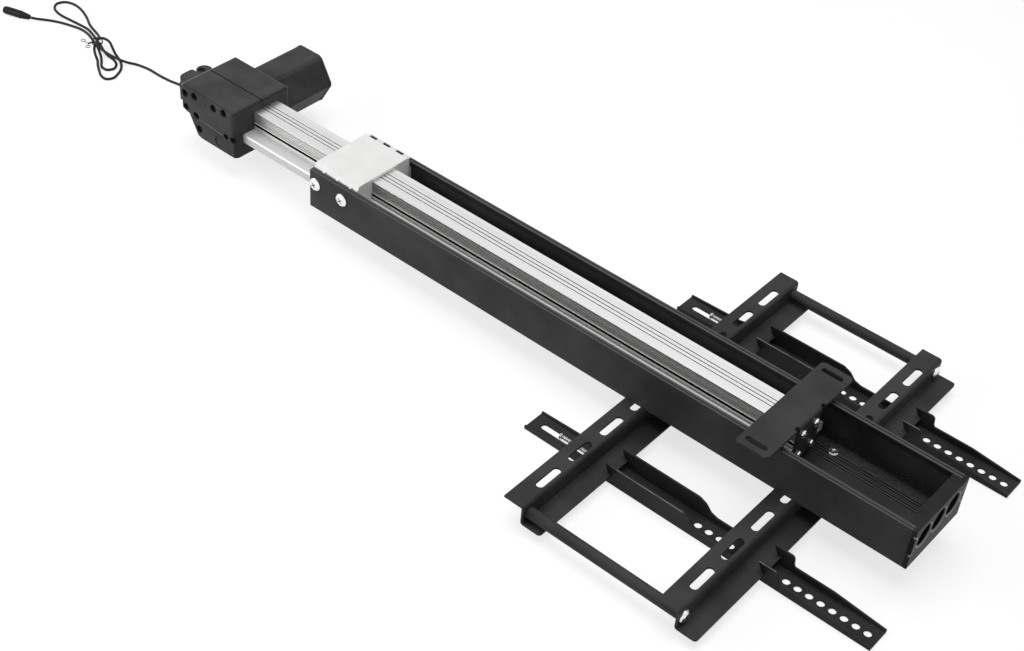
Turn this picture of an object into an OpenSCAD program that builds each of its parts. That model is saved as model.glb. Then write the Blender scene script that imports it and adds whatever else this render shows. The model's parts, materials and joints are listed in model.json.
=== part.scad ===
// Motorised television lift, shown lying flat and almost retracted.
// X runs along the column towards the end cap, Y across, Z up.
// Working frame: x = 0 at the channel's motor end, z = 0 under the channel.

/* [Channel] */
// Outside width of the black channel
channel_w = 102; // [80:1:130]
// Outside height of the black channel
channel_h = 52; // [40:1:70]
// Length of the channel extrusion
channel_len = 811; // [600:1:1100]
// Side wall and floor thickness
channel_t = 3.2; // [2:0.1:5]
// Width and height of the thick lip along each wall top
lip = 6.8; // [4:0.1:10]

/* [Column] */
// Width of the narrow upper part
column_top_w = 37.4; // [30:0.2:50]
// Height of the column's top face
column_top_z = 54; // [48:0.5:60]
// Width of the wide middle part
column_mid_w = 77; // [60:1:84]
// Top of the wide middle part
column_mid_z1 = 30.6; // [26:0.1:34]
// Underside of the wide middle part
column_mid_z0 = 19.6; // [16:0.1:22]
// Width of the lower part
column_low_w = 38; // [30:1:44]
// Underside of the column
column_low_z = 9; // [6:0.5:12]
// End of the column inside the gearbox
column_x0 = -150; // [-170:1:-135]
// End of the column at the bracket
column_x1 = 658.5; // [500:0.5:900]
// Wall thickness of the column
column_t = 2.4; // [1.6:0.1:4]

/* [Drive] */
// Height of the lead screw's axis
screw_z = 41; // [38:0.5:43]
// Outside radius of the lead screw
screw_r = 7; // [5:0.5:8]
// Radius of the screw's plain journals
journal_r = 6; // [4:0.5:7]
// Distance along X of the motor and worm axis
motor_x = -180.5; // [-190:0.5:-170]
// Height of the motor and worm axis
motor_z = 22.2; // [18:0.2:26]
// Outside radius of the worm
worm_r = 5.5; // [4:0.1:7]
// Corner radius of the hexagonal motor housing
can_r = 38.6; // [32:0.2:44]
// Far end of the motor housing
can_y1 = 127; // [110:1:150]

/* [Gearbox] */
// Back face of the gearbox
box_x0 = -223; // [-240:1:-210]
// Front face of the gearbox
box_x1 = -128; // [-140:1:-120]
// Near face of the gearbox
box_y0 = -52; // [-60:1:-44]
// Far face of the gearbox
box_y1 = 39; // [30:1:50]
// Top face of the gearbox
box_h = 65; // [58:1:75]
// Joint between the two halves
seam_y = -4.7; // [-10:0.1:0]

/* [Slider block] */
// Length of the nylon block
block_len = 69.5; // [50:0.5:90]
// Top face of the nylon block
block_top = 58; // [55:0.5:62]

/* [Rails] */
// Length of each cross rail
rail_len = 496; // [400:1:700]
// Motor side edge of the first rail
rail_a_x = 472.7; // [400:0.1:520]
// Motor side edge of the second rail
rail_b_x = 662.8; // [600:0.1:720]
// Width of the top flange
rail_top_w = 25.2; // [20:0.1:35]
// Width of the bottom flange, web included
rail_low_w = 25.3; // [20:0.1:35]
// Height of the rail
rail_h = 24.4; // [18:0.1:35]
// Sheet thickness of the rails
rail_t = 2.5; // [1.5:0.1:4]
// Slot width in the rails
slot_w = 9; // [6:0.5:11]
// Slot length in the rails, end to end
slot_len = 35; // [25:1:45]
// Slot pitch along the rails
slot_pitch = 51.6; // [40:0.1:60]
// Diameter of the two tubes
tube_d = 13; // [10:0.5:19]
// Height of the tubes' axis
tube_z = -13; // [-16:0.5:-10]

/* [Arms] */
// Width of each arm
arm_w = 31.1; // [24:0.1:40]
// Underside of the arms
arm_z0 = -34.3; // [-40:0.1:-30]
// Sheet thickness of the arms
arm_t = 2.2; // [1.5:0.1:3]
// Motor side end of the arms
arm_x0 = 405; // [350:1:450]
// Free end of the arms
arm_x1 = 833.5; // [700:0.5:950]
// Middle of the near arm
arm_near_y = -117.8; // [-210:0.1:-60]
// Middle of the far arm
arm_far_y = 157.3; // [60:0.1:210]
// Screen hole diameter
hole_d = 8.5; // [6:0.5:9]
// Screen hole pitch, fifteen of them make 200 mm
hole_pitch = 13.3333; // [10:0.0001:20]
// Number of screen holes in each arm
hole_count = 16; // [4:1:20]
// Last screen hole
hole_last_x = 821.8; // [780:0.1:840]

/* [End bracket] */
// Top face of the plate
plate_z = 63.5; // [58:0.5:70]
// Length across the column
plate_len = 162; // [120:1:240]
// Width along the column
plate_w = 38.5; // [30:0.5:60]
// Plate thickness
plate_t = 3; // [2:0.1:5]
// Distance between the two fixing slots
plate_slot_gap = 140; // [100:1:200]
// Fixing slot length, end to end
plate_slot_len = 26.5; // [15:0.5:35]
// Fixing slot width
plate_slot_w = 7; // [5:0.5:9]

/* [Cord] */
// Cord diameter
cord_d = 3.6; // [3:0.1:6]
// Plug body diameter
plug_d = 11; // [8:0.5:14]
// Plug barrel diameter
barrel_d = 5.5; // [3.5:0.1:6]

/* [Output] */
// Name of the sub-part to draw, or all of them

/* [Hidden] */
$fn = 64;

// Named clearances
fit_gap = 0.05;
slide_gap = 0.35;
press_gap = 0.1;

// Where the working frame sits in the part's frame
lobe_x0 = -240.5;
lobe_z1 = 63;
shift_x = -(arm_x1 + lobe_x0) / 2;
shift_z = -arm_z0;

// Values worked out from the settings above
bolt_r = 3;
head_r = 7.8;
head_h = 3.6;
rail_slot_x = 16.1;
rail_bolt_y = 34;
shoulder_z = channel_h + 0.4;
shoulder_w = 3.4;
tooth_h = 1.6;
tooth_pitch = 21.3;
screw_x1 = 9;
screw_x2 = 51.8;
side_screw_z = 35.1;
port_y = 12;
port_z1 = 49;
port_z0 = 20;
port_r = 2.6;
low_gap = 0.3;
arm_low_z = -rail_h - low_gap;
arm_high_z = -10.7;
arm_end_h = 4.2;
arm_taper = 60;
arm_slot_len = 65;
lug_x = 484;
lug_w = 8.4;
lock_x = 442.4;
lock_r = 2.5;
lock_head_r = 3.8;
lock_head_h = 2.2;
lock_z = -30.4;
nose_z = -rail_h + rail_t + low_gap;
wheel_r = screw_z - motor_z - worm_r - 0.3;
tube_y = rail_len / 2 - 10;
floor_grooves = [19, 22.6, 28.6, 32.2];
wall_grooves = [7.5, 11, 14.5];
groove_w = 1.5;
groove_depth = 1.3;
cap_t = 5;
pocket_r = 12.4;
pocket_pitch = 28.3;
pocket_z = 31;

module place() {
  translate([shift_x, 0, shift_z]) children();
}

// A flat shape drawn as (Y, Z), run along X
module along_x(x0, len) {
  translate([x0, 0, 0]) rotate([90, 0, 90]) linear_extrude(len) children();
}

// A flat shape drawn as (X, Z), run along Y towards the far side
module along_y(y0, len) {
  translate([0, y0 + len, 0]) rotate([90, 0, 0]) linear_extrude(len) children();
}

module rod_x(x0, len, y, z, r) {
  translate([x0, y, z]) rotate([0, 90, 0]) cylinder(h = len, r = r);
}

module rod_y(y0, len, x, z, r) {
  translate([x, y0 + len, z]) rotate([90, 0, 0]) cylinder(h = len, r = r);
}

module rod_z(z0, len, x, y, r) {
  translate([x, y, z0]) cylinder(h = len, r = r);
}

// What comes off a corner at (x, y) to round it; sx and sy say which way the corner points
module corner_cut(x, y, r, sx, sy) {
  translate([x - sx * r, y - sy * r]) difference() {
    translate([sx > 0 ? 0 : -r - 1, sy > 0 ? 0 : -r - 1]) square(r + 1);
    circle(r = r);
  }
}

// Quarter of a bent sheet seen on its edge; sx and sz say which quarter
module bend(cx, cz, r_out, t, sx, sz) {
  translate([cx, cz]) intersection() {
    difference() {
      circle(r = r_out);
      circle(r = r_out - t);
    }
    translate([sx > 0 ? 0 : -r_out, sz > 0 ? 0 : -r_out]) square(r_out);
  }
}

// Slot through a plate lying flat, its long side along Y
module slot_y(x, y, z0, h, w, len) {
  translate([x, y, z0]) linear_extrude(h) union() {
    translate([-w / 2, -(len - w) / 2]) square([w, len - w]);
    translate([0, -(len - w) / 2]) circle(d = w);
    translate([0, (len - w) / 2]) circle(d = w);
  }
}

// The same with its long side along X
module slot_x(x, y, z0, h, w, len) {
  translate([x, y, z0]) rotate([0, 0, 90]) slot_y(0, 0, 0, h, w, len);
}

// Cross-head screw with a low domed head, drawn pointing along +Z from the seat
module dome_screw(r, len, hr, hh) {
  difference() {
    union() {
      translate([0, 0, -len]) cylinder(h = len, r = r);
      cylinder(h = hh * 0.35, r = hr);
      translate([0, 0, hh * 0.35]) cylinder(h = hh * 0.35, r1 = hr, r2 = hr * 0.86);
      translate([0, 0, hh * 0.7]) cylinder(h = hh * 0.3, r1 = hr * 0.86, r2 = hr * 0.55);
    }
    translate([-hr * 0.45, -0.6, hh * 0.55]) cube([hr * 0.9, 1.2, hh]);
    translate([-0.6, -hr * 0.45, hh * 0.55]) cube([1.2, hr * 0.9, hh]);
  }
}

module screw_px(x, y, z, r, len, hr, hh) {
  translate([x, y, z]) rotate([0, 90, 0]) rotate([0, 0, 25]) dome_screw(r, len, hr, hh);
}

module screw_nx(x, y, z, r, len, hr, hh) {
  translate([x, y, z]) rotate([0, -90, 0]) rotate([0, 0, 25]) dome_screw(r, len, hr, hh);
}

module screw_ny(x, y, z, r, len, hr, hh) {
  translate([x, y, z]) rotate([90, 0, 0]) rotate([0, 0, 35]) dome_screw(r, len, hr, hh);
}

module screw_py(x, y, z, r, len, hr, hh) {
  translate([x, y, z]) rotate([-90, 0, 0]) rotate([0, 0, 35]) dome_screw(r, len, hr, hh);
}

// Column

module column_outline(c) {
  union() {
    translate([-column_top_w / 2 - c, column_mid_z0])
      square([column_top_w + 2 * c, column_top_z - column_mid_z0 + c]);
    translate([-column_mid_w / 2 - c, column_mid_z0 - c])
      square([column_mid_w + 2 * c, column_mid_z1 - column_mid_z0 + 2 * c]);
    translate([-column_low_w / 2 - c, column_low_z - c])
      square([column_low_w + 2 * c, column_mid_z0 - column_low_z + 2 * c]);
  }
}

module column_hollow() {
  difference() {
    union() {
      translate([-column_top_w / 2 + column_t, column_mid_z0])
        square([column_top_w - 2 * column_t, column_top_z - column_t - column_mid_z0]);
      translate([-column_mid_w / 2 + column_t, column_mid_z0 + column_t])
        square([column_mid_w - 2 * column_t, column_mid_z1 - column_mid_z0 - 2 * column_t]);
      translate([-column_low_w / 2 + column_t, column_low_z + column_t])
        square([column_low_w - 2 * column_t, column_mid_z0 - column_low_z]);
      translate([-nut_slot, column_low_z - 1]) square([2 * nut_slot, column_t + 2]);
    }
    for (s = [-1, 1]) {
      translate([s * port_y, port_z1]) circle(r = 4.3);
      translate([s > 0 ? port_y : -port_y - 8.6, port_z1 - 2]) square([8.6, 7]);
      translate([s * (port_y + 0.4), port_z0]) circle(r = 4.3);
      translate([s > 0 ? column_top_w / 2 - 4.3 : -column_top_w / 2 + column_t - 0.1, 31.8])
        square([2, 9.2]);
    }
  }
}

nut_slot = 6;

module column_section() {
  difference() {
    union() {
      column_outline(0);
      // small lips above and below each side slot
      for (s = [-1, 1]) for (z = [33, 38.2])
        translate([s > 0 ? column_top_w / 2 - 0.1 : -column_top_w / 2 - 0.7, z]) square([0.8, 1.2]);
    }
    column_hollow();
    // three grooves along the top
    for (y = [-5.3, 0, 5.3]) translate([y - 0.6, column_top_z - 1.5]) square([1.2, 3]);
    for (s = [-1, 1]) {
      // side slots
      translate([s > 0 ? column_top_w / 2 - 1.9 : -column_top_w / 2 - 1, 34.2]) square([2.9, 4]);
      // fine grooves above the slots
      for (z = [42.6, 45.2, 47.8, 50.4])
        translate([s > 0 ? column_top_w / 2 - 0.4 : -column_top_w / 2 - 1, z]) square([1.4, 0.7]);
      // screw ports in the corners
      translate([s * port_y, port_z1]) circle(r = port_r - 0.1, $fn = 32);
      translate([s * port_y, port_z0]) circle(r = port_r - 0.1, $fn = 32);
      // shallow groove beside the foot of the narrow part
      translate([s > 0 ? column_top_w / 2 + 1.4 : -column_top_w / 2 - 2.6, column_mid_z1 - 0.6])
        square([1.2, 1]);
      // chamfer along the edge of the wide part
      translate([s * column_mid_w / 2, column_mid_z1]) rotate([0, 0, 45]) square(2.2, center = true);
    }
  }
}

module column() {
  color([0.84, 0.85, 0.86]) place() difference() {
    along_x(column_x0, column_x1 - column_x0) column_section();
    // two punched dots near the gearbox
    for (x = [-97, -93.5]) rod_z(column_mid_z1 - 0.8, 2, x, -25.5, 0.9);
  }
}

module screw_bush() {
  color([0.9, 0.9, 0.88]) place() difference() {
    along_x(column_x1 - 16, 15.8) translate([-14.35, 31.9]) square([28.7, 13.2]);
    rod_x(column_x1 - 20, 25, 0, screw_z, journal_r - 1 + fit_gap);
    along_x(column_x1 - 20, 25) for (s = [-1, 1]) translate([s * port_y, port_z1]) circle(r = 4.5);
  }
}

// Drive

module lead_screw() {
  color([0.7, 0.71, 0.72]) place() {
    rod_x(box_x0 + 19, column_x0 - box_x0 - 19 + 0.5, 0, screw_z, journal_r);
    rod_x(column_x0, column_x1 - column_x0 - 18, 0, screw_z, screw_r);
    rod_x(column_x1 - 18.5, 17, 0, screw_z, journal_r - 1);
  }
}

module worm_wheel() {
  color([0.86, 0.8, 0.62]) place() difference() {
    union() {
      translate([motor_x - 6, 0, screw_z]) rotate([0, 90, 0]) linear_extrude(12) difference() {
        circle(r = wheel_r);
        for (i = [0:23]) rotate([0, 0, i * 15]) translate([wheel_r, 0]) circle(r = 0.85, $fn = 16);
      }
      rod_x(motor_x - 9, 18, 0, screw_z, 9);
    }
    rod_x(motor_x - 20, 40, 0, screw_z, journal_r + 0.03);
  }
}

module worm_shaft() {
  color([0.72, 0.7, 0.66]) place() {
    rod_y(-30, can_motor_y0 + 30 - 0.4, motor_x, motor_z, 4);
    difference() {
      rod_y(-15, 30, motor_x, motor_z, worm_r);
      for (y = [-12:3:12]) translate([motor_x, y + 0.6, motor_z]) rotate([90, 0, 0]) difference() {
        cylinder(h = 1.2, r = worm_r + 1);
        translate([0, 0, -1]) cylinder(h = 4, r = worm_r - 1.1);
      }
    }
  }
}

can_motor_y0 = box_y1 + 7;

module worm_bearing() {
  color([0.75, 0.76, 0.78]) place() for (y = [-27, 20]) difference() {
    rod_y(y, 7, motor_x, motor_z, 9);
    rod_y(y - 1, 9, motor_x, motor_z, 4 + fit_gap);
  }
}

module screw_bearings() {
  color([0.75, 0.76, 0.78]) place() for (x = [box_x0 + 21, motor_x + 12]) difference() {
    rod_x(x, 10, 0, screw_z, 13);
    rod_x(x - 1, 12, 0, screw_z, journal_r + fit_gap);
  }
}

module motor_body() {
  color([0.45, 0.46, 0.48]) place() {
    rod_y(can_motor_y0, can_y1 - 5 - can_motor_y0, motor_x, motor_z, 30);
  }
}

module limit_switches() {
  color([0.12, 0.12, 0.13]) place() for (x = [-118, 606]) {
    translate([x, 22, column_mid_z0 + column_t + 0.1]) cube([20, 10, 5.2]);
    translate([x + 3, 18.5, column_mid_z0 + column_t + 1.6]) cube([1.2, 3.6, 2.4]);
  }
}

// Gearbox

module box_profile() {
  difference() {
    polygon([
      [box_x0, box_h], [box_x1, box_h], [box_x1, 0], [box_x0 + 33, 0], [box_x0 + 26.5, 2],
      [box_x0 + 11.5, 28.8], [box_x0, 32.6]]);
    corner_cut(box_x1, box_h, 5, 1, 1);
    corner_cut(box_x0, box_h, 1.5, -1, 1);
  }
}

// Gearbox seen from above, with its upright corners rounded
module box_plan() {
  difference() {
    translate([box_x0, box_y0]) square([box_x1 - box_x0, box_y1 - box_y0]);
    corner_cut(box_x1, box_y0, 8, 1, -1);
    corner_cut(box_x0, box_y0, 3, -1, -1);
    corner_cut(box_x1, box_y1, 4, 1, 1);
  }
}

// Gearbox cross section with its two long top edges rounded
module box_section(y0, y1) {
  difference() {
    translate([y0, -1]) square([y1 - y0, box_h + 1]);
    if (y0 < seam_y) corner_cut(y0, box_h, 5, -1, 1);
    if (y1 > 0) corner_cut(y1, box_h, 3, 1, 1);
  }
}

// What the gears, shafts, bearings and the column take out of the gearbox
module box_rooms() {
  rod_x(motor_x - 10, 20, 0, screw_z, wheel_r + 1.5);
  rod_x(box_x0 + 21 - fit_gap, 10 + 2 * fit_gap, 0, screw_z, 13 + fit_gap);
  rod_x(motor_x + 12 - fit_gap, 10 + 2 * fit_gap, 0, screw_z, 13 + fit_gap);
  rod_x(box_x0 + 15, 80, 0, screw_z, 10);
  along_x(column_x0 - 0.2, 60) column_outline(press_gap);
  along_x(column_x0 - 0.2, 60) translate([-column_top_w / 2 - 0.8, 32.8]) square([column_top_w + 1.6, 6.8]);
  rod_y(-32, 62, motor_x, motor_z, worm_r + 1);
  rod_y(-27 - fit_gap, 7 + 2 * fit_gap, motor_x, motor_z, 9 + fit_gap);
  rod_y(20 - fit_gap, 7 + 2 * fit_gap, motor_x, motor_z, 9 + fit_gap);
  rod_y(26, 40, motor_x, motor_z, 6.5);
}

// Screw recesses of the near face: place along X, height and radius
near_holes = [
  [-216, 54.5, 5.3], [-199, 57, 5.3], [-165, 56.3, 5.3], [-147, 57.6, 5.3], [-215, 35.6, 4.9],
  [-193.5, 12, 5.3], [-197, 30, 5.3], [-144, 25.5, 4.6], [-133, 25, 4.6]];

module housing_near() {
  color([0.16, 0.16, 0.17]) place() difference() {
    intersection() {
      along_y(box_y0, seam_y - box_y0) box_profile();
      along_x(box_x0 - 5, 120) box_section(box_y0, seam_y);
      linear_extrude(box_h) box_plan();
    }
    box_rooms();
    // the lower part of the near face stands back a little
    along_y(box_y0 - 1, 2.2) polygon([[box_x0 - 5, -5], [box_x1 + 5, -5], [box_x1 + 5, 23],
      [box_x0 + 11.5, 28.8], [box_x0 - 5, 29.8]]);
    for (p = near_holes) rod_y(box_y0 - 1, 9, p[0], p[1], p[2]);
    // fine joint line on the top
    translate([box_x0 - 1, seam_y - 1.1, box_h - 1.5]) cube([120, 2, 3]);
    rod_y(box_y0, 2.2, -157, 11, 8.2);
    rod_y(box_y0 - 1, 3, -179, 54, 1.1);
  }
}

module housing_far() {
  color([0.16, 0.16, 0.17]) place() difference() {
    intersection() {
      along_y(seam_y, box_y1 - seam_y) box_profile();
      along_x(box_x0 - 5, 120) box_section(seam_y, box_y1);
      linear_extrude(box_h) box_plan();
    }
    box_rooms();
  }
}

module housing_screws() {
  color([0.2, 0.2, 0.21]) place() for (p = near_holes) translate([p[0], box_y0 + 8, p[1]])
    rotate([90, 0, 0]) difference() {
    cylinder(h = 2.4, r = 3.9);
    translate([-2.2, -0.5, 1.2]) cube([4.4, 1, 2]);
    translate([-0.5, -2.2, 1.2]) cube([1, 4.4, 2]);
  }
}

// Two rounded bosses on the back of the gearbox; the cord leaves the second one downwards
module back_cover() {
  color([0.16, 0.16, 0.17]) place() difference() {
    union() {
      translate([0, 0, 34]) linear_extrude(lobe_z1 - 34) difference() {
        translate([lobe_x0, -44.5]) square([box_x0 - lobe_x0, 26.7]);
        corner_cut(lobe_x0, -44.5, 13, -1, -1);
        corner_cut(lobe_x0, -17.8, 3, -1, 1);
      }
      rod_z(34, lobe_z1 - 1 - 34, lobe_x0 + 10, -7, 10);
      translate([lobe_x0 + 6, -44, 34]) cube([box_x0 - lobe_x0 - 6, 47, 24]);
      translate([lobe_x0 + 10, -44, 34]) cube([box_x0 - lobe_x0 - 10, 47, lobe_z1 - 36]);
    }
    translate([box_x0, -60, 0]) cube([40, 80, 90]);
    rod_z(lobe_z1 - 5, 10, lobe_x0 + 8.5, -9.5, 5);
  }
}

module motor_can() {
  color([0.16, 0.16, 0.17]) place() difference() {
    translate([motor_x, can_y1 - 3, motor_z]) rotate([90, 0, 0]) linear_extrude(can_y1 - 3 - box_y1)
      intersection() {
      circle(r = can_r, $fn = 6);
      circle(r = can_r - 1.5);
    }
    translate([motor_x, can_y1, motor_z]) rotate([90, 0, 0]) linear_extrude(can_y1 - box_y1 - 4)
      circle(r = 30 + fit_gap);
    rod_y(box_y1 - 1, 20, motor_x, motor_z, 6.5);
  }
}

module motor_cap() {
  color([0.14, 0.14, 0.15]) place() difference() {
    union() {
      translate([motor_x, can_y1, motor_z]) rotate([90, 0, 0]) linear_extrude(3) intersection() {
        circle(r = can_r + 0.5, $fn = 6);
        circle(r = can_r - 1);
      }
      rod_y(can_y1 - 4.9, 2.2, motor_x, motor_z, 29.8);
    }
    for (a = [45:90:315]) translate([motor_x + 22 * cos(a), can_y1 + 0.5, motor_z + 22 * sin(a)])
      rotate([90, 0, 0]) cylinder(h = 2, r = 2.6);
  }
}

// Channel and what it carries

module channel_section() {
  w = channel_w / 2;
  difference() {
    translate([-w, 0]) square([2 * w, channel_h]);
    translate([-w + channel_t, channel_t]) square([2 * (w - channel_t), channel_h - channel_t - lip]);
    translate([-w + lip, channel_t]) square([2 * (w - lip), channel_h]);
    for (s = [-1, 1]) {
      // line along each wall top
      translate([s * (w - lip / 2) - 0.5, channel_h - 0.8]) square([1, 2]);
      // grooves in the floor, two pairs on each side
      for (y = floor_grooves) translate([s * y - groove_w / 2, channel_t - groove_depth])
        square([groove_w, 3]);
      // and low down inside each wall
      for (z = wall_grooves) translate([s > 0 ? w - channel_t - 1 : -w + channel_t - 1, z - 0.6])
        square([2, 1.2]);
    }
  }
}

module channel() {
  color([0.17, 0.17, 0.18]) place() difference() {
    along_x(0, channel_len) channel_section();
    for (x = [screw_x1, screw_x2]) rod_y(-channel_w, 2 * channel_w, x, side_screw_z, bolt_r + 0.2);
    for (x = [rail_a_x, rail_b_x]) for (s = [-1, 1])
      rod_z(-1, 8, x + rail_slot_x, s * rail_bolt_y, bolt_r + 0.2);
  }
}

// Upper part of the block: upright between the lips, with sloping shoulders up to its top
module block_upper() {
  a = channel_w / 2 - lip - slide_gap;
  low = channel_h / 2 - 6;
  polygon([
    [-a, low], [a, low], [a, shoulder_z], [a - shoulder_w, block_top],
    [-a + shoulder_w, block_top], [-a, shoulder_z]]);
}

module slide_block() {
  w = channel_w / 2;
  inner = w - channel_t - slide_gap;
  tooth = w - lip - slide_gap - 1;
  color([0.93, 0.93, 0.91]) place() difference() {
    union() {
      along_x(0.5, block_len) translate([-inner, channel_t + 0.1])
        square([2 * inner, channel_h - lip - channel_t - slide_gap]);
      along_x(0.5, block_len) block_upper();
      // wide teeth over the far lip of the channel, small ones at the near lip
      for (i = [0:2]) translate([14 + i * tooth_pitch, tooth, channel_h + 0.1])
        cube([10.2, lip, tooth_h]);
      translate([0.5, tooth, channel_h + 0.1]) cube([2.5, lip, tooth_h]);
      for (i = [0:2]) translate([15.2 + i * tooth_pitch, -tooth - 3, channel_h + 0.1])
        cube([3.6, 4, tooth_h]);
    }
    along_x(-5, block_len + 20) column_outline(slide_gap);
    // clearance for the column's small side lips
    along_x(-5, block_len + 20) translate([-column_top_w / 2 - 1.1, 32.6])
      square([column_top_w + 2.2, 7.2]);
    for (x = [screw_x1, screw_x2]) for (s = [-1, 1])
      rod_y(s > 0 ? w - 22 : -w - 1, 23, x, side_screw_z, bolt_r + fit_gap);
  }
}

module drive_nut() {
  color([0.88, 0.87, 0.8]) place() difference() {
    union() {
      rod_x(15, 40, 0, screw_z, 9.4);
      translate([15, -5.4, column_low_z - slide_gap]) cube([40, 10.8, screw_z - column_low_z]);
      translate([20, -8.5, 25]) cube([30, 25.5, 2.8]);
    }
    rod_x(0, 80, 0, screw_z, screw_r + fit_gap);
  }
}

module block_screws() {
  w = channel_w / 2;
  color([0.8, 0.81, 0.82]) place() for (x = [screw_x1, screw_x2]) {
    screw_ny(x, -w, side_screw_z, bolt_r, 18, head_r + 0.4, head_h);
    screw_py(x, w, side_screw_z, bolt_r, 18, head_r + 0.4, head_h);
  }
}

// Round pocket with a rounded rim, its mouth on the plane x = 0, running to -X
module rim_pocket(r, depth, round) {
  rotate([0, 90, 0]) rotate_extrude() difference() {
    translate([0, -depth]) square([r + round, depth + 1]);
    translate([r, -depth - 1]) square([round + 1, depth + 1 - round]);
    translate([r + round, -round]) circle(r = round, $fn = 32);
  }
}

module end_cap() {
  w = channel_w / 2;
  color([0.2, 0.2, 0.21]) place() difference() {
    union() {
      along_x(channel_len, cap_t) translate([-w, 0]) square([2 * w, channel_h]);
      along_x(channel_len - 9.5, 9.6) translate([-w + channel_t + 0.2, channel_t + 0.1])
        square([2 * (w - channel_t - 0.2), channel_h - lip - channel_t - 0.3]);
      along_x(channel_len - 9.5, 9.6) translate([-w + lip + 0.2, 20])
        square([2 * (w - lip - 0.2), channel_h - 20]);
    }
    for (i = [-1:1]) translate([channel_len + cap_t, i * pocket_pitch, pocket_z])
      rim_pocket(pocket_r, 12, 2.6);
  }
}

// Cross rails

module rail_section(x) {
  r = 3.5;
  web = x + rail_top_w;
  union() {
    translate([x, -rail_t]) square([rail_top_w - r, rail_t]);
    bend(web - r, -r, r, rail_t, 1, 1);
    translate([web - rail_t, -rail_h + r]) square([rail_t, rail_h - 2 * r]);
    bend(web - rail_t + r, -rail_h + r, r, rail_t, -1, -1);
    translate([web - rail_t + r, -rail_h]) square([rail_low_w - r, rail_t]);
  }
}

module rail(x) {
  difference() {
    along_y(-rail_len / 2, rail_len) rail_section(x);
    for (s = [-1, 1]) {
      for (i = [0:3]) slot_y(x + rail_slot_x, s * (43.5 + i * slot_pitch), -rail_t - 1, rail_t + 2,
        slot_w, slot_len);
      rod_x(x + 10, 30, s * tube_y, tube_z, bolt_r + 0.2);
      // rounded free corners of the bottom flange
      translate([x + rail_top_w - rail_t + rail_low_w, s * rail_len / 2, -rail_h - 1]) difference() {
        cube([8, 8, 8], center = true);
        translate([-4, -s * 4, -5]) cylinder(h = 10, r = 4);
        translate([-8, 0, 0]) cube([8, 20, 20], center = true);
        translate([0, -s * 8, 0]) cube([20, 8, 20], center = true);
      }
    }
  }
}

module rail_motor_side() {
  color([0.17, 0.17, 0.18]) place() rail(rail_a_x);
}

module rail_cap_side() {
  color([0.17, 0.17, 0.18]) place() rail(rail_b_x);
}

module rail_bolts() {
  color([0.8, 0.81, 0.82]) place() for (x = [rail_a_x, rail_b_x]) for (s = [-1, 1]) {
    translate([x + rail_slot_x, s * rail_bolt_y, -rail_t - 4]) {
      cylinder(h = 4, r = 5.6, $fn = 6);
      cylinder(h = 16.2, r = bolt_r);
    }
  }
}

module rail_nuts() {
  color([0.8, 0.81, 0.82]) place() for (x = [rail_a_x, rail_b_x]) for (s = [-1, 1]) {
    translate([x + rail_slot_x, s * rail_bolt_y, channel_t]) difference() {
      union() {
        cylinder(h = 1.2, r = 6.4);
        translate([0, 0, 1.2]) cylinder(h = 4.4, r = 5.7, $fn = 6);
      }
      translate([0, 0, -1]) cylinder(h = 10, r = bolt_r + fit_gap);
    }
  }
}

module tube(y) {
  x0 = rail_a_x + rail_top_w;
  len = rail_b_x - rail_a_x - rail_t;
  difference() {
    rod_x(x0, len, y, tube_z, tube_d / 2);
    rod_x(x0 - 1, 20, y, tube_z, bolt_r + fit_gap);
    rod_x(x0 + len - 19, 20, y, tube_z, bolt_r + fit_gap);
  }
}

module tube_near() {
  color([0.17, 0.17, 0.18]) place() tube(-tube_y);
}

module tube_far() {
  color([0.17, 0.17, 0.18]) place() tube(tube_y);
}

module tube_screws() {
  color([0.8, 0.81, 0.82]) place() for (s = [-1, 1]) {
    screw_px(rail_b_x + rail_top_w, s * tube_y, tube_z, bolt_r, 17, head_r, head_h);
    screw_nx(rail_a_x + rail_top_w - rail_t, s * tube_y, tube_z, bolt_r, 17, head_r, head_h);
  }
}

// Television arms

// Hook of an arm over the free edge n of a rail's bottom flange, from its upper edge round the slim nose
function hook(n) = [
  [n - 8.5, arm_high_z], [n - 7.5, arm_high_z - 3.5], [n - 4.5, nose_z + 1.5],
  [n - 1, nose_z], [n + 0.5, nose_z], [n + 0.5, arm_low_z]];

// Side flange of an arm: low under the rails, high behind each hook, tapered towards the free end
module arm_side() {
  free_a = rail_a_x + rail_top_w + rail_low_w - rail_t;
  free_b = rail_b_x + rail_top_w + rail_low_w - rail_t;
  dip_x = rail_b_x - 29;
  step_z = arm_low_z + 0.8;
  polygon(concat(
    [[rail_a_x + 15, arm_low_z], [rail_a_x, arm_z0 + arm_end_h + 2], [arm_x0, arm_z0 + arm_end_h]],
    [[arm_x0, arm_z0], [arm_x1, arm_z0], [arm_x1, arm_z0 + arm_end_h]],
    [[arm_x1 - arm_taper, step_z], [free_b + 17, step_z], [free_b + 15.5, step_z + 2.2]],
    [[free_b + 14.8, arm_high_z - 3.5], [free_b + 13.5, arm_high_z - 1], [free_b + 11, arm_high_z]],
    hook(free_b),
    [[dip_x, arm_low_z], [dip_x - 8, arm_low_z + 2.7]],
    [[dip_x - 15, arm_high_z - 3.8], [dip_x - 24, arm_high_z]],
    hook(free_a)));
}

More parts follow.
